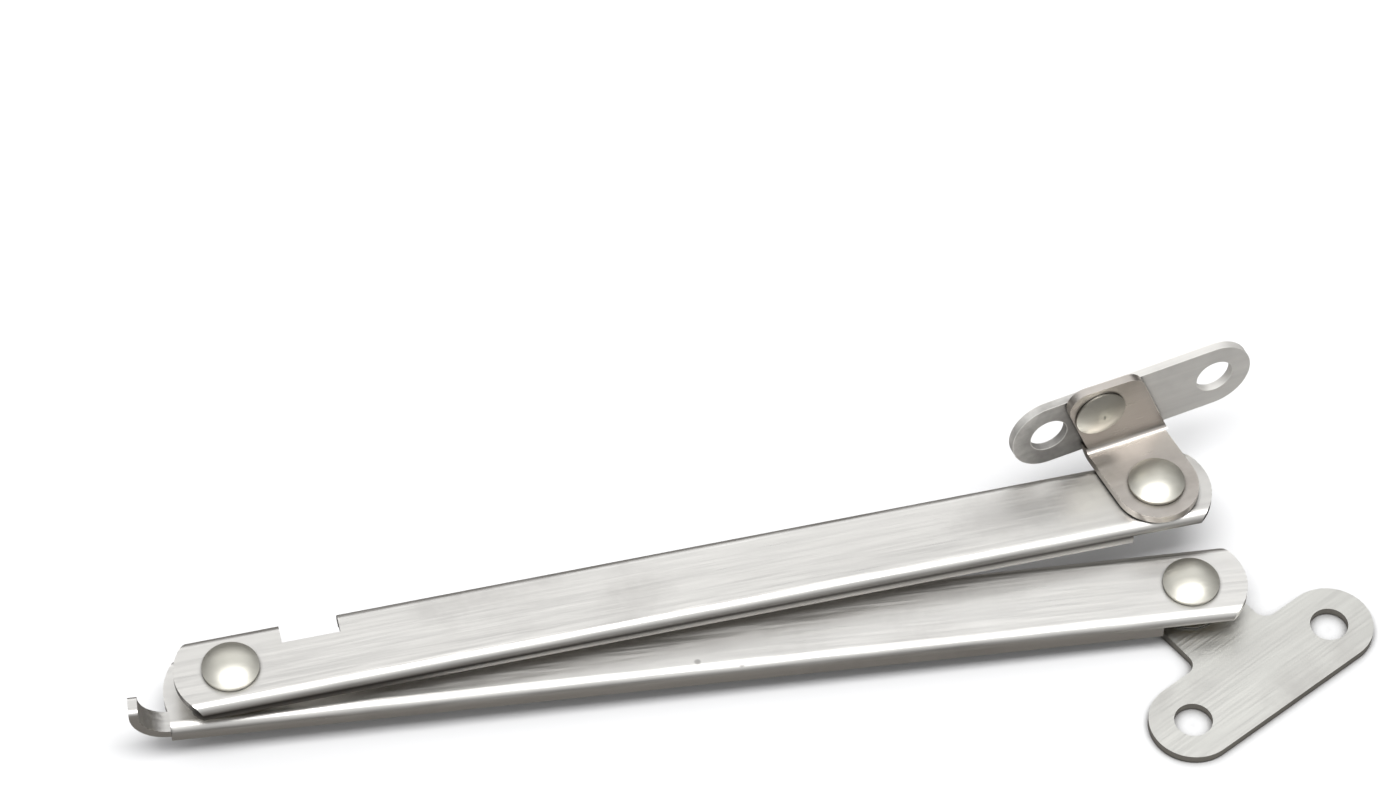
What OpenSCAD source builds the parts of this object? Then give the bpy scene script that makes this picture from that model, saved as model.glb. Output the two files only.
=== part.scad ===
// Folding friction stay: two stamped channel arms joined by a friction rivet at the elbow,
// with a T-shaped frame plate on one end and a bracket and screw plate on the other.
// Millimetres. Z is up and X runs along the lower arm, away from the elbow. The origin is
// midway between the two screw holes of the frame plate, on its back face.

/* [Sheet] */
// Thickness of the stamped sheet
sheet_t = 1.2; // [1.1:0.05:1.3]
// Inner radius of the arms' folds
fold_r = 0.4; // [0.2:0.1:0.6]

/* [Arms] */
// Distance between the two rivets of the lower arm
arm_l = 125; // [90:5:250]
// How much shorter the upper arm is between its rivets
arm_step = 2; // [0:0.5:4]
// Width over the flanges
arm_w = 11.6; // [11.2:0.1:13]
// Height of an arm's level in the stack, which its washers and rivet tails share
arm_h = 4; // [3.8:0.1:4.4]
// Height of the lower arm's flanges at the frame end
lower_flange_h = 3; // [2.4:0.1:3.8]
// Height of the upper arm's flanges at the sash end
upper_flange_h = 2.5; // [2:0.1:3.8]
// Height of both arms' flanges at the elbow, which they taper down to
elbow_flange_h = 2.1; // [1.9:0.1:3.7]
// Radius of an arm's rounded end about its rivet
arm_end_r = 7.4; // [7:0.1:8.5]
// Angle between the folded arms
fold_angle = 5.8; // [5.5:0.1:90]

/* [Stop] */
// Distance from the elbow to the middle of the upper arm's notch
notch_x = 10.9; // [10.6:0.1:11.5]
// Length of the notch along the arm
notch_l = 7.6; // [7:0.1:9]
// Depth of the notch across the arm
notch_d = 3.4; // [3.3:0.1:3.8]
// Distance from the elbow to the start of the stop tab's curl
tab_x = 8.4; // [8.2:0.1:8.6]
// Inner radius of the stop tab's curl
tab_curl_r = 3.8; // [3.4:0.1:4]
// Width of the stop tab
tab_w = 3.1; // [2.5:0.1:3.1]
// Height of the stop tab above the lower arm's web
tab_h = 4.6; // [4.4:0.1:5]

/* [Frame plate] */
// Distance between the screw holes
frame_pitch = 24; // [20:0.5:30]
// Distance from the pivot to the line of the screw holes
neck_l = 14.1; // [14:0.1:20]
// Width of the neck
neck_w = 11.6; // [10:0.2:12]
// Radius of the plate's lobes about the screw holes
frame_lobe_r = 5.8; // [5:0.1:6]
// Diameter of the screw holes
frame_hole_d = 5; // [4:0.1:5.5]
// Direction of the neck from the pivot, from the X axis
neck_angle = -58.7; // [-120:0.1:-20]

/* [Sash bracket] */
// Width of the bracket strip
bracket_w = 11.2; // [10:0.1:12]
// Distance from the pivot to the inner corner of the bend
bend_x = 8.2; // [7:0.1:10]
// Inner radius of the bend
bend_r = 1; // [0.6:0.1:1.4]
// Direction from the pivot square to the bend, from the X axis
bend_angle = 104.4; // [20:0.1:150]
// Lean of the leg away from the pivot
leg_lean = 4; // [0:1:12]
// Slant of the pad's sides from square to the bend
pad_slant = 5.5; // [0:0.5:8]
// Slant of the leg's sides from square to the bend
leg_slant = 20; // [0:1:22]
// Height of the leg from the inner corner of the bend
leg_h = 11.2; // [11:0.1:14]
// Radius of the leg's top corners
leg_corner_r = 2.6; // [1:0.1:3]

/* [Sash plate] */
// Distance between the screw holes
sash_pitch = 24; // [20:0.5:30]
// Radius of the plate's ends
sash_end_r = 5.2; // [5.2:0.1:6]
// Diameter of the screw holes
sash_hole_d = 5.2; // [4:0.1:5.5]
// Distance of the swivel rivet above the line of the screw holes
swivel_rise = 2.8; // [0:0.1:2.8]
// Distance of the swivel rivet from the middle of the plate, towards its short end
swivel_offset = 5.3; // [0:0.1:5.5]
// Tilt of the plate in the plane of the leg, which lowers its short end
plate_tilt = 2.5; // [-5:0.5:5]

/* [Rivets] */
// Diameter of the rivet heads
head_d = 7.4; // [7:0.1:7.6]
// Thickness of a rivet head's straight edge
head_edge = 0.5; // [0.3:0.1:0.6]
// Height of the dome on a rivet head
head_dome = 1.2; // [0.8:0.1:1.4]
// Diameter of the arm rivets' shanks
shank_d = 4; // [3.6:0.1:4]
// Diameter of the swivel rivet's shank
swivel_shank_d = 3.2; // [2.8:0.1:3.2]
// Diameter of the swivel rivet's head
swivel_head_d = 7; // [6:0.1:7.2]
// Height of the dome on the swivel rivet's head
swivel_dome = 0.8; // [0.6:0.1:1]

/* [Hidden] */
$fn = 96;

// Clearance of a shank in a moving hole, and in a hole that it is riveted tight in
run_gap = 0.05;
tight_gap = 0.02;
// Gap between faces that rub
face_gap = 0.05;
// Gaps that keep the arms off the frame plate and off each other
plate_gap = 0.4;
arm_gap = 0.3;
// Extra length that carries a cut clear of the solid
over = 1;

// Levels of the stack
lower_z = sheet_t + plate_gap;
lower_top = lower_z + arm_h;
lower_web = lower_top - sheet_t;
upper_z = lower_top + arm_gap;
upper_top = upper_z + arm_h;
upper_web = upper_top - sheet_t;
bracket_z = upper_top + arm_gap;
bracket_top = bracket_z + sheet_t;

// Washers and spacers
washer_r = 4.2;
spacer_r = 2.9;
spring_h = 0.6;
spring_t = 0.35;
friction_t = 0.35;
backing_t = 0.5;
thin_washer_t = arm_gap - face_gap;
swivel_washer_t = 0.2;

// Formed tails inside the arms, and countersunk tails in the screw plates
tail_r = 3.1;
tail_edge = 0.3;
tail_dome = 0.6;
sink_h = 0.8;
sink_grow = 0.9;
swivel_sink_grow = 0.6;
sink_back = 0.02;

// Each arm's flanges stop short of the pivot at its far end
relief_l = 4.6;
// End of the lower arm beyond the elbow
lower_end_r = 9;
// Radius of the stop tab's top corners
tab_corner_r = 0.8;
// Fillet where the frame plate's neck meets its bar
neck_fillet_r = 1.8;

// Pivot positions in plan
frame_pivot = -neck_l * [cos(neck_angle), sin(neck_angle)];
elbow = frame_pivot - [arm_l, 0];
upper_arm_l = arm_l - arm_step;
sash_pivot = elbow + upper_arm_l * [cos(fold_angle), sin(fold_angle)];

// The bend of the bracket, and where it starts and ends
bend_sweep = 90 - leg_lean;
bend_run = bend_r * tan(bend_sweep / 2);
bend_mid = (bend_x - bend_run) * tan(pad_slant);
bend_half = bracket_w / 2 / cos(pad_slant);

// Swivel rivet and plate centre in the leg's own frame: across the leg, then up it
swivel_y = 4.6;
swivel_z = 6.9;
leg_back = sheet_t + face_gap + swivel_washer_t;
swivel_tail = sink_back - sheet_t - leg_back;
swivel_edge = 0.3;

// ---- Frames ----

module at_frame_pivot() {
    translate([frame_pivot.x, frame_pivot.y, 0]) children();
}

module at_elbow() {
    translate([elbow.x, elbow.y, 0]) children();
}

// X runs out along the upper arm from the elbow
module at_upper_arm() {
    at_elbow() rotate([0, 0, fold_angle]) children();
}

// X points square to the bracket's bend, Y runs along it
module at_sash_pivot() {
    translate([sash_pivot.x, sash_pivot.y, 0]) rotate([0, 0, bend_angle]) children();
}

// X points out of the back of the leg, Y runs along the bend, Z up the leg
module at_leg() {
    at_sash_pivot() translate([bend_x, 0, bracket_top]) rotate([0, leg_lean, 0]) children();
}

// Z points out of the front of the leg along the swivel rivet
module at_swivel() {
    at_leg() translate([0, swivel_y, swivel_z]) rotate([0, -90, 0]) children();
}

// ---- Rivets and washers ----

// A domed head that stands on z = 0
module domed_head(r, edge, dome) {
    ball_r = (r * r + dome * dome) / (2 * dome);
    intersection() {
        cylinder(r = r, h = edge + dome);
        translate([0, 0, edge + dome - ball_r]) sphere(r = ball_r);
    }
}

// A rivet from z_tail up to z_head, with a domed tail formed over the last washer
module domed_rivet(z_tail, z_head) {
    union() {
        translate([0, 0, z_head]) domed_head(head_d / 2, head_edge, head_dome);
        translate([0, 0, z_tail]) cylinder(r = shank_d / 2, h = z_head - z_tail);
        translate([0, 0, z_tail]) mirror([0, 0, 1]) domed_head(tail_r, tail_edge, tail_dome);
    }
}

// The headless end of a rivet whose tail fills a countersink that opens at z_tail
module countersunk_shank(d, grow, z_tail, z_head) {
    translate([0, 0, z_tail]) cylinder(r = d / 2, h = z_head - z_tail);
    translate([0, 0, z_tail]) cylinder(r1 = d / 2 + grow, r2 = d / 2, h = sink_h);
}

// The hole for a countersunk rivet, through a sheet that starts at z = 0
module countersunk_hole(d, grow) {
    r = d / 2 + tight_gap;
    translate([0, 0, -over]) cylinder(r = r, h = sheet_t + 2 * over);
    translate([0, 0, -over]) cylinder(r = r + grow, h = over + sink_back);
    translate([0, 0, sink_back]) cylinder(r1 = r + grow, r2 = r, h = sink_h);
}

module washer(r, hole_d, t) {
    difference() {
        cylinder(r = r, h = t);
        translate([0, 0, -over]) cylinder(r = hole_d / 2 + run_gap, h = t + 2 * over);
    }
}

// A coned spring washer, standing on its outer edge
module spring_washer(r, hole_d) {
    inner_r = hole_d / 2 + run_gap;
    rise = spring_h - spring_t;
    rotate_extrude()
        polygon([[inner_r, rise], [r, 0], [r, spring_t], [inner_r, spring_h]]);
}

// A hole that a pivot turns in, through everything above z = 0
module pivot_hole(d) {
    translate([0, 0, -over]) cylinder(r = d / 2 + run_gap, h = 40);
}

// ---- Arms ----

// A block with rounded top edges, its top on y = 0
module rounded_block(w, h, r) {
    translate([-w / 2, -h]) square([w, h - r]);
    translate([-w / 2 + r, -h]) square([w - 2 * r, h]);
    for (side = [-1, 1])
        translate([side * (w / 2 - r), -r]) circle(r = r);
}

// Cross-section of an arm, its web on top
module channel_section() {
    difference() {
        rounded_block(arm_w, arm_h, fold_r + sheet_t);
        translate([0, -sheet_t])
            rounded_block(arm_w - 2 * sheet_t, arm_h, fold_r);
    }
}

// Channel along X, long enough for any arm, with its web's top at z
module channel_stock(z) {
    translate([-2 * arm_end_r, 0, z])
        rotate([90, 0, 90])
            linear_extrude(height = arm_l + 4 * arm_end_r)
                channel_section();
}

// Plan of an arm from the elbow at the origin to a rivet at l on the X axis
module arm_plan(l, elbow_end_r) {
    intersection() {
        translate([-2 * arm_end_r, -arm_w / 2]) square([l + 4 * arm_end_r, arm_w]);
        union() {
            circle(r = elbow_end_r);
            translate([l, 0]) circle(r = arm_end_r);
            translate([0, -arm_w / 2]) square([l, arm_w]);
        }
    }
}

// Side view of the stop tab, which curls up from the lower arm's web
module tab_side() {
    outer = tab_curl_r + sheet_t;
    translate([-tab_x, lower_top + tab_curl_r]) {
        intersection() {
            difference() {
                circle(r = outer);
                circle(r = tab_curl_r);
            }
            translate([-outer, -outer]) square(outer);
        }
        translate([-outer, 0]) square([sheet_t, tab_h - tab_curl_r]);
    }
}

// Front view of the stop tab, rounded at its top corners
module tab_front() {
    top = lower_top + tab_h;
    translate([0, lower_web]) square([tab_w, top - tab_corner_r - lower_web]);
    translate([tab_corner_r, lower_web]) square([tab_w - 2 * tab_corner_r, top - lower_web]);
    for (y = [tab_corner_r, tab_w - tab_corner_r])
        translate([y, top - tab_corner_r]) circle(r = tab_corner_r);
}

module stop_tab() {
    intersection() {
        translate([0, -arm_w / 2 + tab_w, 0])
            rotate([90, 0, 0])
                linear_extrude(height = tab_w)
                    tab_side();
        translate([-2 * tab_x, -arm_w / 2, 0])
            rotate([90, 0, 90])
                linear_extrude(height = 2 * tab_x)
                    tab_front();
    }
}

// Cuts flanges to a taper: elbow_flange_h deep at the elbow, far_h deep at l along the X axis
module flange_taper(l, z, far_h) {
    below = z - arm_h - over;
    translate([0, arm_w, 0])
        rotate([90, 0, 0])
            linear_extrude(height = 2 * arm_w)
                polygon([[-2 * arm_end_r, below], [-2 * arm_end_r, z - elbow_flange_h],
                    [0, z - elbow_flange_h], [l, z - far_h], [l, below]]);
}

// Cuts the flanges away under a web, from a little short of the rivet at l
module end_relief(l, web) {
    translate([l - relief_l, -arm_w, web - arm_h])
        cube([3 * arm_end_r, 2 * arm_w, arm_h]);
}

module lower_arm() {
    color("silver")
    at_elbow() difference() {
        union() {
            intersection() {
                channel_stock(lower_top);
                linear_extrude(height = lower_top + over) {
                    arm_plan(arm_l, lower_end_r);
                    translate([-tab_x, -arm_w / 2]) square([tab_x, tab_w]);
                }
            }
            stop_tab();
        }
        pivot_hole(shank_d);
        translate([arm_l, 0, 0]) pivot_hole(shank_d);
        end_relief(arm_l, lower_web);
        flange_taper(arm_l, lower_top, lower_flange_h);
    }
}

module upper_arm() {
    color("gainsboro")
    at_upper_arm() difference() {
        intersection() {
            channel_stock(upper_top);
            linear_extrude(height = upper_top + over)
                arm_plan(upper_arm_l, arm_end_r);
        }
        pivot_hole(shank_d);
        translate([upper_arm_l, 0, 0]) pivot_hole(shank_d);
        translate([notch_x - notch_l / 2, arm_w / 2 - notch_d, 0])
            cube([notch_l, arm_w, upper_top + over]);
        end_relief(upper_arm_l, upper_web);
        flange_taper(upper_arm_l, upper_top, upper_flange_h);
    }
}

// ---- Frame plate ----

// Plan of the T with its pivot at the origin and its neck along X
module frame_plan() {
    bar_x = neck_l - frame_lobe_r;
    circle(d = neck_w);
    translate([0, -neck_w / 2]) square([neck_l, neck_w]);
    translate([bar_x, -frame_pitch / 2]) square([2 * frame_lobe_r, frame_pitch]);
    for (side = [-1, 1]) {
        translate([neck_l, side * frame_pitch / 2]) circle(r = frame_lobe_r);
        mirror([0, side > 0 ? 0 : 1])
            translate([bar_x - neck_fillet_r, neck_w / 2])
                difference() {
                    square(neck_fillet_r);
                    translate([0, neck_fillet_r]) circle(r = neck_fillet_r);
                }
    }
}

module frame_plate() {
    color("silver")
    at_frame_pivot() rotate([0, 0, neck_angle]) difference() {
        linear_extrude(height = sheet_t) frame_plan();
        countersunk_hole(shank_d, sink_grow);
        for (side = [-1, 1])
            translate([neck_l, side * frame_pitch / 2, -over])
                cylinder(d = frame_hole_d, h = sheet_t + 2 * over);
    }
}

// ---- Sash bracket ----

// Side view of the strip: pad, bend and leg, drawn about the centre of the bend
module bracket_side() {
    outer = bend_r + sheet_t;
    translate([bend_x - bend_run, bracket_top + bend_r]) {
        translate([-2 * bracket_w, -outer]) square([2 * bracket_w, sheet_t]);
        intersection() {
            difference() {
                circle(r = outer);
                circle(r = bend_r);
            }
            translate([0, -2 * outer]) square(4 * outer);
            rotate(-leg_lean) translate([-outer, -4 * outer]) square(4 * outer);
        }
        rotate(-leg_lean) translate([bend_r, 0]) square([sheet_t, leg_h - bend_run]);
    }
}

// Plan of the pad, its strip run on past the bend
module pad_plan() {
    rotate(pad_slant) {
        circle(d = bracket_w);
        translate([0, -bracket_w / 2]) square([2 * bend_x, bracket_w]);
    }
}

// Front view of the leg, seen with Y to the left: slanted sides, rounded top corners
module leg_front() {
    slope = tan(leg_slant);
    reach = leg_corner_r / cos(leg_slant);
    mid_z = leg_h - leg_corner_r;
    drift = slope * (mid_z - bend_run);
    arc_y = [for (side = [-1, 1]) bend_mid + drift + side * (bend_half - reach)];
    touch = leg_corner_r * [cos(leg_slant), -sin(leg_slant)];
    foot_y = [for (side = [-1, 1]) bend_mid - slope * bend_run + side * bend_half];
    polygon([[foot_y[0], 0], [foot_y[1], 0],
        [arc_y[1], mid_z] + touch, [arc_y[1], leg_h],
        [arc_y[0], leg_h], [arc_y[0], mid_z] - touch]);
    for (y = arc_y)
        translate([y, mid_z]) circle(r = leg_corner_r);
}

module sash_bracket() {
    color("rosybrown")
    difference() {
        intersection() {
            at_sash_pivot()
                translate([0, 2 * bracket_w, 0])
                    rotate([90, 0, 0])
                        linear_extrude(height = 4 * bracket_w)
                            bracket_side();
            union() {
                at_sash_pivot() linear_extrude(height = bracket_top + bend_run / 2) pad_plan();
                at_leg() translate([-over, 0, 0])
                    rotate([90, 0, 90])
                        linear_extrude(height = sheet_t + 2 * over)
                            leg_front();
            }
        }
        at_sash_pivot() pivot_hole(shank_d);
        at_swivel() translate([0, 0, -2 * sheet_t])
            cylinder(r = swivel_shank_d / 2 + run_gap, h = 4 * sheet_t);
    }
}

// ---- Sash plate ----

module sash_plate() {
    color("gainsboro")
    at_swivel()
        rotate([0, 0, plate_tilt])
            translate([0, 0, -leg_back - sheet_t])
                difference() {
                    linear_extrude(height = sheet_t)
                        translate([-swivel_rise, -swivel_offset]) {
                            square([2 * sash_end_r, sash_pitch], center = true);
                            for (side = [-1, 1])
                                translate([0, side * sash_pitch / 2]) circle(r = sash_end_r);
                        }
                    countersunk_hole(swivel_shank_d, swivel_sink_grow);
                    for (side = [-1, 1])
                        translate([-swivel_rise, side * sash_pitch / 2 - swivel_offset, -over])
                            cylinder(d = sash_hole_d, h = sheet_t + 2 * over);
                }
}

// ---- Frame pivot ----

module frame_rivet() {
    color("lightgray")
    at_frame_pivot() union() {
        translate([0, 0, lower_top + face_gap]) domed_head(head_d / 2, head_edge, head_dome);
        countersunk_shank(shank_d, sink_grow, sink_back, lower_top + face_gap);
    }
}

module frame_spring_washer() {
    color("gray")
    at_frame_pivot() translate([0, 0, sheet_t]) spring_washer(washer_r, shank_d);
}

module frame_spacer() {
    z = sheet_t + spring_h;
    color("lightgray")
    at_frame_pivot() translate([0, 0, z])
        washer(spacer_r, shank_d, lower_web - face_gap - friction_t - z);
}

module frame_friction_washer() {
    color("goldenrod")
    at_frame_pivot() translate([0, 0, lower_web - face_gap - friction_t])
        washer(washer_r, shank_d, friction_t);
}

// ---- Elbow ----

module elbow_rivet() {
    color("lightgray")
    at_elbow() domed_rivet(lower_web - backing_t, upper_top + face_gap);
}

module elbow_backing_washer() {
    color("gray")
    at_elbow() translate([0, 0, lower_web - backing_t]) washer(washer_r, shank_d, backing_t);
}

module elbow_spring_washer() {
    color("gray")
    at_elbow() translate([0, 0, lower_top]) spring_washer(washer_r, shank_d);
}

module elbow_spacer() {
    z = lower_top + spring_h;
    color("lightgray")
    at_elbow() translate([0, 0, z])
        washer(spacer_r, shank_d, upper_web - face_gap - friction_t - z);
}

module elbow_friction_washer() {
    color("goldenrod")
    at_elbow() translate([0, 0, upper_web - face_gap - friction_t])
        washer(washer_r, shank_d, friction_t);
}

// ---- Sash pivot ----

module sash_rivet() {
    color("lightgray")
    at_sash_pivot()
        domed_rivet(upper_web - spring_h - backing_t, bracket_top + face_gap);
}

module sash_friction_washer() {
    color("goldenrod")
    at_sash_pivot() translate([0, 0, upper_top]) washer(washer_r, shank_d, thin_washer_t);
}

module sash_spring_washer() {
    color("gray")
    at_sash_pivot() translate([0, 0, upper_web - spring_h]) spring_washer(washer_r, shank_d);
}

module sash_backing_washer() {
    color("gray")
    at_sash_pivot() translate([0, 0, upper_web - spring_h - backing_t])
        washer(washer_r, shank_d, backing_t);
}

// ---- Swivel ----

module swivel_rivet() {
    color("lightgray")
    at_swivel() union() {
        translate([0, 0, face_gap]) domed_head(swivel_head_d / 2, swivel_edge, swivel_dome);
        countersunk_shank(swivel_shank_d, swivel_sink_grow, swivel_tail, face_gap);
    }
}

module swivel_friction_washer() {
    color("goldenrod")
    at_swivel() translate([0, 0, -leg_back])
        washer(spacer_r, swivel_shank_d, swivel_washer_t);
}

frame_plate();
lower_arm();
upper_arm();
sash_bracket();
sash_plate();
frame_rivet();
frame_spring_washer();
frame_spacer();
frame_friction_washer();
elbow_rivet();
elbow_backing_washer();
elbow_spring_washer();
elbow_spacer();
elbow_friction_washer();
sash_rivet();
sash_friction_washer();
sash_spring_washer();
sash_backing_washer();
swivel_rivet();
swivel_friction_washer();
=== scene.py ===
"""Looks of the folding friction stay: steel arms, plates, rivets and washers on a pale table."""

import math

import bpy
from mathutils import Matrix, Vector

MM = 0.001

# Camera: the point it looks at, in millimetres, and where it stands from there
LOOK_AT_MM = (-67.83, 51.12, 5.0)
CAMERA_AZIMUTH = -7.57
CAMERA_ELEVATION = 52.0
CAMERA_DISTANCE_MM = 650.0
CAMERA_LENS = 125.9
SENSOR_WIDTH = 36.0
CLIP_NEAR, CLIP_FAR = 0.05, 20.0

# The floor lies just under the frame plate
FLOOR_Z = -0.0001
FLOOR_SIZE = 6.0

# The point that both light panels face
LIGHTS_AIM_MM = (-70, 12, 5)

# Where the elbow is in plan
ELBOW_X = -132.3 * MM
ELBOW_Y = 12.05 * MM

# Turns of the brushed grain about the vertical, in degrees
FOLD_ANGLE = 5.8
NECK_ANGLE = -58.7
BRACKET_ANGLE = 14

# Half the width of an arm, and how far its web is crowned
ARM_HALF_WIDTH = 5.8 * MM
CROWN_RISE = 0.05 * MM

# How closely the grain's noise is packed along, across and through a piece, per metre
FINE_GRAIN = (90, 3300, 3300)
BROAD_GRAIN = (26, 420, 420)

# How closely the stains' noise and the pits are packed, per metre
CLOUD_SCALE = 62.0
BLOT_SCALE = 260.0
PIT_SCALE = 180.0

# Depths of the broad grain and of the stains' waviness, against that of the fine grain
BROAD_DEPTH = 6
CLOUD_DEPTH = 18

# How far the rubbed edges reach in from an edge, and how bright and smooth they make the steel;
# the brightness is wear and a painted highlight
EDGE_REACH = 0.28 * MM
WEAR_AND_HIGHLIGHT_TONE = 0.7
WEAR_AND_HIGHLIGHT_LIFT = 1.12
WEAR_POLISH = 0.1

# How far the painted shade reaches out of a corner, and how much it covers
CORNER_SHADE_REACH = 0.8 * MM
CORNER_SHADE_COVER = 0.85

# How far the table is shaded about what lies on it
SHADE_REACH = 3 * MM

# Samples of the nodes that look for edges and corners
NEARBY_SAMPLES = 6

# How much rougher a stain is than clean steel
STAIN_ROUGHNESS = 0.14

# Colours of stained steel and of the painted shade in corners and on flanges
STEEL_DARK = (0.40, 0.385, 0.37)
PAINTED_SHADE = (0.045, 0.04, 0.036)

# Colours of the table: two shades of the top, its shaded parts, and what the steel mirrors
TABLE_LOW = (0.86, 0.86, 0.865)
TABLE_HIGH = (0.88, 0.88, 0.885)
TABLE_SHADED = (0.3, 0.295, 0.29)
TABLE_MIRRORED = (0.125, 0.115, 0.105)

# Colours of the room: near the horizon, overhead, and behind the stay in the picture
ROOM_LOW = (0.13, 0.125, 0.12)
ROOM_HIGH = (0.62, 0.625, 0.63)
BACKDROP = (1.0, 1.0, 1.0)


def mm(*lengths):
    """Lengths in millimetres as a tuple in metres."""
    return tuple(length * MM for length in lengths)


# ---- Node helpers ----


class Tree:
    """Adds nodes to a material or world one after another."""

    def __init__(self, tree):
        self.tree = tree
        self.x = 0

    def add(self, kind, **settings):
        node = self.tree.nodes.new(kind)
        node.location = (self.x, 0)
        self.x += 180
        for name, value in settings.items():
            setattr(node, name, value)
        return node

    def link(self, source, target):
        self.tree.links.new(source, target)

    def math(self, operation, a, b=None, clamp=False):
        node = self.add("ShaderNodeMath", operation=operation, use_clamp=clamp)
        for socket, value in zip(node.inputs, (a, b)):
            if value is None:
                continue
            if isinstance(value, (int, float)):
                socket.default_value = value
            else:
                self.link(value, socket)
        return node.outputs[0]

    def ramp(self, factor, low, high, out_low=0.0, out_high=1.0):
        """A soft step from out_low, where factor is low, to out_high, where it is high."""
        node = self.add("ShaderNodeMapRange", interpolation_type="SMOOTHSTEP")
        self.link(factor, node.inputs["Value"])
        node.inputs["From Min"].default_value = low
        node.inputs["From Max"].default_value = high
        node.inputs["To Min"].default_value = out_low
        node.inputs["To Max"].default_value = out_high
        return node.outputs["Result"]

    def mix(self, factor, a, b):
        node = self.add("ShaderNodeMix", data_type="RGBA")
        self.link(factor, node.inputs["Factor"])
        for socket, value in ((node.inputs["A"], a), (node.inputs["B"], b)):
            if isinstance(value, tuple):
                socket.default_value = (*value, 1.0)
            else:
                self.link(value, socket)
        return node.outputs["Result"]

    def noise(self, vector, scale, detail=3.0, roughness=0.55):
        node = self.add("ShaderNodeTexNoise")
        node.inputs["Scale"].default_value = scale
        node.inputs["Detail"].default_value = detail
        node.inputs["Roughness"].default_value = roughness
        self.link(vector, node.inputs["Vector"])
        return node.outputs["Fac"]

    def vector_math(self, operation, a, b):
        """A node that works on the socket a and on b, which is a socket or a constant."""
        node = self.add("ShaderNodeVectorMath", operation=operation)
        self.link(a, node.inputs[0])
        if isinstance(b, tuple):
            node.inputs[1].default_value = b
        else:
            self.link(b, node.inputs[1])
        return node

    def split(self, vector):
        """The X, Y and Z sockets of a vector."""
        node = self.add("ShaderNodeSeparateXYZ")
        self.link(vector, node.inputs[0])
        return node.outputs

    def place(self, vector, turn, origin, scale=(1, 1, 1)):
        """The object's coordinates moved to origin, turned about Z, then stretched."""
        moved = self.vector_math("SUBTRACT", vector, origin)
        spin = self.add("ShaderNodeVectorRotate", rotation_type="EULER_XYZ", invert=True)
        spin.inputs["Rotation"].default_value = (0, 0, math.radians(turn))
        self.link(moved.outputs[0], spin.inputs["Vector"])
        return self.vector_math("MULTIPLY", spin.outputs[0], scale).outputs[0]


def new_material(name, metallic):
    """A material with its shader wired to the output."""
    material = bpy.data.materials.new(name)
    material.use_nodes = True
    material.node_tree.nodes.clear()
    tree = Tree(material.node_tree)
    shader = tree.add("ShaderNodeBsdfPrincipled")
    output = tree.add("ShaderNodeOutputMaterial")
    tree.link(shader.outputs[0], output.inputs["Surface"])
    shader.inputs["Metallic"].default_value = metallic
    return material, tree, shader


# ---- Masks ----


def wear_and_highlight_mask(tree):
    """1 near the edges, which wear and a painted highlight make bright, 0 on flat faces."""
    bevel = tree.add("ShaderNodeBevel", samples=NEARBY_SAMPLES)
    bevel.inputs["Radius"].default_value = EDGE_REACH
    geometry = tree.add("ShaderNodeNewGeometry")
    dot = tree.vector_math("DOT_PRODUCT", bevel.outputs[0], geometry.outputs["Normal"])
    return tree.ramp(dot.outputs["Value"], 0.995, 0.86)


def corner_shade_mask(tree, reach):
    """1 in the corners where pieces meet, where shade is painted in, 0 in the open."""
    corner = tree.add("ShaderNodeAmbientOcclusion", samples=NEARBY_SAMPLES)
    corner.inputs["Distance"].default_value = reach
    return tree.ramp(corner.outputs["AO"], 0.8, 0.45)


def flange_shade_mask(tree, local, low, high, tone_low, tone_high):
    """How much painted shade darkens an upright flange, from its free edge at low up to its fold
    at high.
    """
    geometry = tree.add("ShaderNodeNewGeometry")
    facing = tree.split(geometry.outputs["Normal"])["Z"]
    upright = tree.ramp(tree.math("ABSOLUTE", facing), 0.5, 0.2)
    tone = tree.ramp(tree.split(local)["Z"], low, high, tone_low, tone_high)
    return tree.math("MULTIPLY", upright, tone)


def dark_patch_mask(tree, local, blot, centre, reach, strength):
    """A dark patch about a point, broken up by the stains' noise."""
    span = tree.vector_math("SUBTRACT", local, centre)
    shrunk = tree.vector_math("DIVIDE", span.outputs[0], reach)
    length = tree.add("ShaderNodeVectorMath", operation="LENGTH")
    tree.link(shrunk.outputs[0], length.inputs[0])
    ragged = tree.math("ADD", length.outputs["Value"], tree.math("MULTIPLY", blot, -0.9))
    return tree.ramp(ragged, 0.75, -0.1, 0.0, strength)


def speck_mask(tree, local, amount):
    """A few small dark pits, in the cells whose random colour is among the reddest."""
    cells = tree.add("ShaderNodeTexVoronoi", feature="F1")
    cells.inputs["Scale"].default_value = PIT_SCALE
    tree.link(local, cells.inputs["Vector"])
    dot = tree.ramp(cells.outputs["Distance"], 0.11, 0.05)
    color = tree.add("ShaderNodeSeparateColor")
    tree.link(cells.outputs["Color"], color.inputs[0])
    rare = tree.math("GREATER_THAN", color.outputs[0], 0.87)
    return tree.math("MULTIPLY", tree.math("MULTIPLY", dot, rare), amount)


# ---- Steel ----


def crown(tree, local):
    """Height of a web that is slightly crowned across its width, in metres."""
    across = tree.math("DIVIDE", tree.split(local)["Y"], ARM_HALF_WIDTH)
    return tree.math("MULTIPLY", tree.math("MULTIPLY", across, across), -CROWN_RISE)


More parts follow.
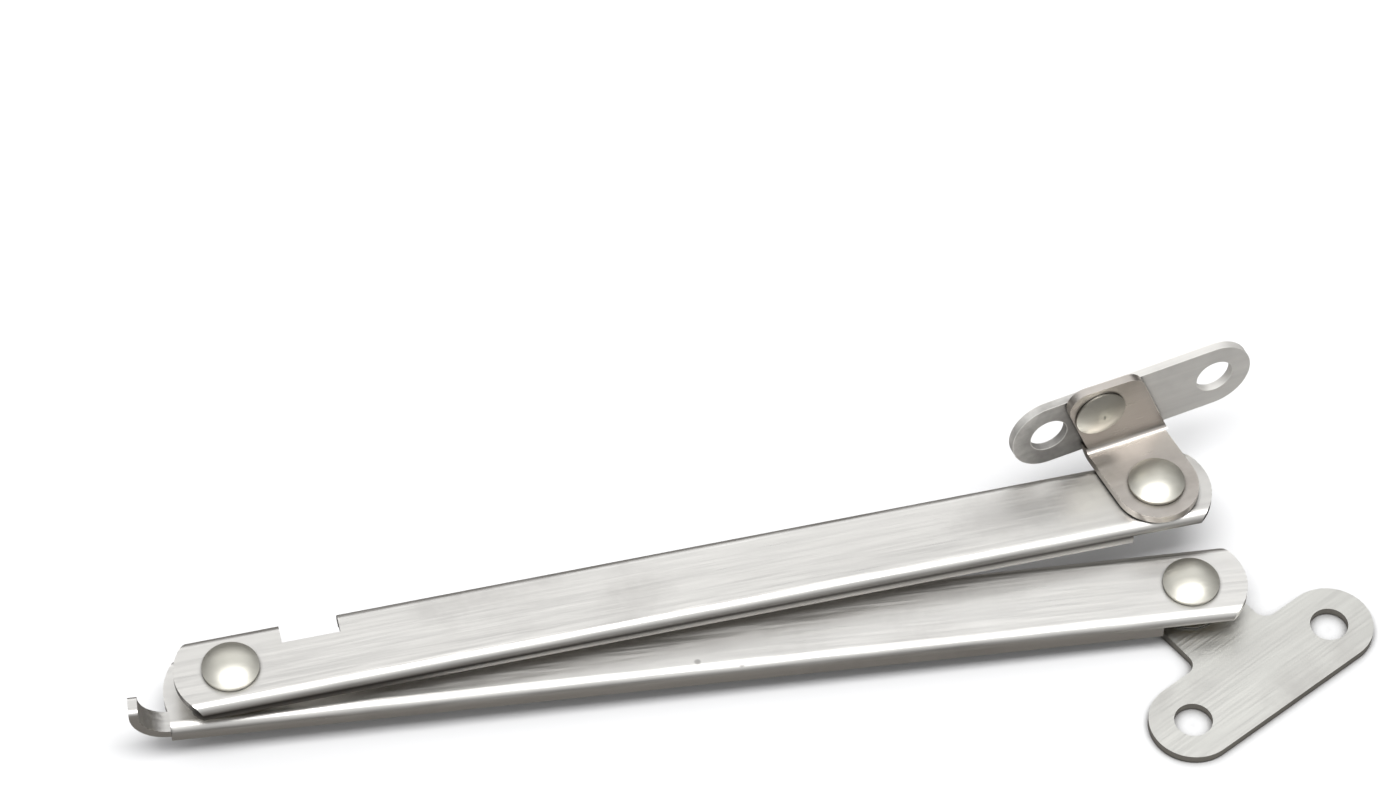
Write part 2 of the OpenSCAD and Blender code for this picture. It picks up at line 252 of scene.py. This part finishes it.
def steel(
    name,
    color,
    dark,
    turn=0,
    origin=(0, 0, 0),
    roughness=0.36,
    grain=0.09,
    grain_depth=1.6e-6,
    stain=0.5,
    crowned=False,
    dark_patch=None,
    specks=0.0,
    flange_shade=None,
    metallic=1.0,
):
    """Stamped steel with a lengthwise grain, stains, rubbed edges that also carry a painted
    highlight, and painted shade in its corners.
    """
    material, tree, shader = new_material(name, metallic)
    coords = tree.add("ShaderNodeTexCoord").outputs["Object"]
    local = tree.place(coords, turn, origin)
    fine = tree.noise(tree.place(coords, turn, origin, FINE_GRAIN), 1.0, 4.0, 0.6)
    broad = tree.noise(tree.place(coords, turn, origin, BROAD_GRAIN), 1.0, 3.0, 0.5)
    cloud = tree.noise(local, CLOUD_SCALE, 4.0, 0.6)
    blot = tree.noise(local, BLOT_SCALE, 3.0, 0.65)
    edges = wear_and_highlight_mask(tree)

    patch = tree.ramp(cloud, 0.47, 0.74, 0.0, stain)
    patch = tree.math("MULTIPLY", patch, tree.ramp(blot, 0.3, 0.62, 0.45, 1.0))
    # A dark patch about a point; on the sash plate it is painted shade
    if dark_patch:
        patch = tree.math("MAXIMUM", patch, dark_patch_mask(tree, local, blot, *dark_patch))
    tone = tree.math("ADD", patch, tree.ramp(broad, 0.3, 0.7, 0.0, 0.16), clamp=True)
    if specks:
        tone = tree.math("MAXIMUM", tone, speck_mask(tree, local, specks))
    base = tree.mix(tone, color, dark)
    # Edges made brighter, partly wear and partly a painted highlight
    worn_and_lit = tuple(min(1.0, channel * WEAR_AND_HIGHLIGHT_LIFT) for channel in color)
    base = tree.mix(tree.math("MULTIPLY", edges, WEAR_AND_HIGHLIGHT_TONE), base, worn_and_lit)
    # Painted shade: the corners where pieces meet are darkened
    corner_shade = tree.math("MULTIPLY", corner_shade_mask(tree, CORNER_SHADE_REACH), CORNER_SHADE_COVER)
    base = tree.mix(corner_shade, base, PAINTED_SHADE)
    # Painted shade on the upright flanges
    if flange_shade:
        base = tree.mix(flange_shade_mask(tree, local, *flange_shade), base, PAINTED_SHADE)
    tree.link(base, shader.inputs["Base Color"])

    rough = tree.ramp(fine, 0.25, 0.75, roughness - grain, roughness + grain)
    rough = tree.math("ADD", rough, tree.math("MULTIPLY", patch, STAIN_ROUGHNESS))
    polish = tree.math("MULTIPLY", edges, WEAR_POLISH)
    rough = tree.math("SUBTRACT", rough, polish, clamp=True)
    tree.link(rough, shader.inputs["Roughness"])

    height = tree.math("MULTIPLY", fine, grain_depth)
    height = tree.math("ADD", height, tree.math("MULTIPLY", broad, BROAD_DEPTH * grain_depth))
    height = tree.math("ADD", height, tree.math("MULTIPLY", cloud, CLOUD_DEPTH * grain_depth))
    if crowned:
        height = tree.math("ADD", height, crown(tree, local))
    bump = tree.add("ShaderNodeBump")
    bump.inputs["Distance"].default_value = 1.0
    tree.link(height, bump.inputs["Height"])
    tree.link(bump.outputs[0], shader.inputs["Normal"])
    return material


# ---- Stage ----


def stage_material():
    """A pale table top, shaded about what lies on it and darker in the steel's reflections."""
    material, tree, shader = new_material("table", 0.0)
    shader.inputs["Roughness"].default_value = 0.7
    coords = tree.add("ShaderNodeTexCoord").outputs["Object"]
    cloud = tree.noise(coords, 9.0)
    path = tree.add("ShaderNodeLightPath")
    pale = tree.mix(tree.ramp(cloud, 0.3, 0.7), TABLE_LOW, TABLE_HIGH)
    shaded = tree.mix(corner_shade_mask(tree, SHADE_REACH), pale, TABLE_SHADED)
    seen = tree.mix(path.outputs["Is Glossy Ray"], shaded, TABLE_MIRRORED)
    tree.link(seen, shader.inputs["Base Color"])
    return material


def make_floor():
    half = FLOOR_SIZE / 2
    mesh = bpy.data.meshes.new("table_top")
    plan = ((-half, -half), (half, -half), (half, half), (-half, half))
    mesh.from_pydata([(x, y, FLOOR_Z) for x, y in plan], [], [(0, 1, 2, 3)])
    floor = bpy.data.objects.new("table_top", mesh)
    bpy.context.scene.collection.objects.link(floor)
    mesh.materials.append(stage_material())


def make_world():
    """A pale room, bright overhead and darker towards the horizon, with a white backdrop."""
    world = bpy.data.worlds.new("room")
    bpy.context.scene.world = world
    world.use_nodes = True
    world.node_tree.nodes.clear()
    tree = Tree(world.node_tree)
    coords = tree.add("ShaderNodeTexCoord").outputs["Generated"]
    up = tree.ramp(tree.split(coords)["Z"], 0.12, 0.62)
    room = tree.mix(up, ROOM_LOW, ROOM_HIGH)
    path = tree.add("ShaderNodeLightPath")
    seen = tree.mix(path.outputs["Is Camera Ray"], room, BACKDROP)
    background = tree.add("ShaderNodeBackground")
    tree.link(seen, background.inputs["Color"])
    output = tree.add("ShaderNodeOutputWorld")
    tree.link(background.outputs[0], output.inputs["Surface"])


def area_light(name, place_mm, size_mm, power):
    """A soft panel that faces the middle of the stay."""
    data = bpy.data.lights.new(name, "AREA")
    data.shape = "RECTANGLE"
    data.size, data.size_y = mm(*size_mm)
    data.energy = power
    light = bpy.data.objects.new(name, data)
    light.location = Vector(place_mm) * MM
    aim = Vector(LIGHTS_AIM_MM) * MM - light.location
    light.rotation_euler = aim.to_track_quat("-Z", "Y").to_euler()
    bpy.context.scene.collection.objects.link(light)


def make_lights():
    area_light("overhead", (-60, -120, 900), (900, 420), 7.0)
    area_light("back_panel", (-60, 900, 700), (1400, 500), 1.6)


def make_camera():
    data = bpy.data.cameras.new("camera")
    data.lens = CAMERA_LENS
    data.sensor_width = SENSOR_WIDTH
    data.clip_start, data.clip_end = CLIP_NEAR, CLIP_FAR
    camera = bpy.data.objects.new("camera", data)
    azimuth, elevation = math.radians(CAMERA_AZIMUTH), math.radians(CAMERA_ELEVATION)
    back = Vector(
        (
            math.sin(azimuth) * math.cos(elevation),
            -math.cos(azimuth) * math.cos(elevation),
            math.sin(elevation),
        )
    )
    camera.location = (Vector(LOOK_AT_MM) + back * CAMERA_DISTANCE_MM) * MM
    camera.rotation_euler = (-back).to_track_quat("-Z", "Y").to_euler()
    bpy.context.scene.collection.objects.link(camera)
    bpy.context.scene.camera = camera


# ---- The stay ----


def dress(frame, nodes, material):
    """Gives CAD nodes a material in place of their own."""
    for node in nodes:
        piece = frame["nodes"][node]
        piece.data.materials.clear()
        piece.data.materials.append(material)


def dress_arms(frame):
    # The lower arm's steel is paler than the upper arm's: painted light that makes up for the
    # shade the upper arm casts on it
    lower = steel(
        "lower_arm_steel",
        (0.86, 0.845, 0.815),
        STEEL_DARK,
        origin=(0, ELBOW_Y, 0),
        stain=0.3,
        crowned=True,
        specks=0.8,
    )
    dress(frame, ["lower_arm"], lower)
    # A dark patch beside the bracket, and painted shade on the flanges, darkest just under the
    # fold
    upper = steel(
        "upper_arm_steel",
        (0.79, 0.775, 0.745),
        STEEL_DARK,
        turn=FOLD_ANGLE,
        origin=(ELBOW_X, ELBOW_Y, 0),
        stain=0.3,
        crowned=True,
        dark_patch=(mm(104, 1, 9), mm(10, 4, 6), 0.4),
        flange_shade=(7.3 * MM, 8.9 * MM, 0.5, 0.93),
    )
    dress(frame, ["upper_arm"], upper)


def dress_plates(frame):
    t_plate = steel(
        "frame_plate_steel",
        (0.69, 0.685, 0.65),
        STEEL_DARK,
        turn=NECK_ANGLE + 90,
        roughness=0.42,
    )
    dress(frame, ["frame_plate"], t_plate)
    # Less metallic than the rest, with painted shade as a dark patch on its left part
    screw_plate = steel(
        "sash_plate_steel",
        (0.82, 0.805, 0.77),
        (0.22, 0.21, 0.2),
        turn=BRACKET_ANGLE,
        roughness=0.45,
        stain=0.3,
        dark_patch=(mm(-13, 33, 15), mm(11, 9, 9), 0.75),
        metallic=0.45,
    )
    dress(frame, ["sash_plate"], screw_plate)
    bracket = steel(
        "bracket_steel",
        (0.62, 0.58, 0.54),
        (0.33, 0.3, 0.27),
        turn=BRACKET_ANGLE,
        roughness=0.34,
    )
    dress(frame, ["sash_bracket"], bracket)


def dress_pivots(frame):
    rivets = steel(
        "rivet_steel",
        (0.69, 0.675, 0.61),
        (0.42, 0.4, 0.34),
        roughness=0.41,
        grain=0.05,
        grain_depth=0.4e-6,
    )
    dress(frame, ["frame_rivet", "elbow_rivet", "sash_rivet", "swivel_rivet"], rivets)
    plain = ("spring_washer", "backing_washer", "spacer")
    washers = steel("washer_steel", (0.5, 0.5, 0.49), (0.3, 0.29, 0.28), roughness=0.4)
    dress(frame, [node for node in frame["nodes"] if node.endswith(plain)], washers)
    brass = steel("friction_brass", (0.58, 0.46, 0.25), (0.32, 0.24, 0.12), roughness=0.4)
    dress(frame, [node for node in frame["nodes"] if node.endswith("friction_washer")], brass)


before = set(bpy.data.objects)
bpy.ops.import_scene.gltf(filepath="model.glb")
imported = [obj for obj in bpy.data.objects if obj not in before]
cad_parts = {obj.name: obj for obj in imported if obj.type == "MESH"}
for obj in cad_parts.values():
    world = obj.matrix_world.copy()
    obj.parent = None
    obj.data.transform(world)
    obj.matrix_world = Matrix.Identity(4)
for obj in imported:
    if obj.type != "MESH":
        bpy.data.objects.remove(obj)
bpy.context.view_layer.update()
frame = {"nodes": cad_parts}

make_camera()
make_floor()
make_world()
make_lights()
dress_arms(frame)
dress_plates(frame)
dress_pivots(frame)

bpy.context.scene.view_settings.view_transform = "Standard"
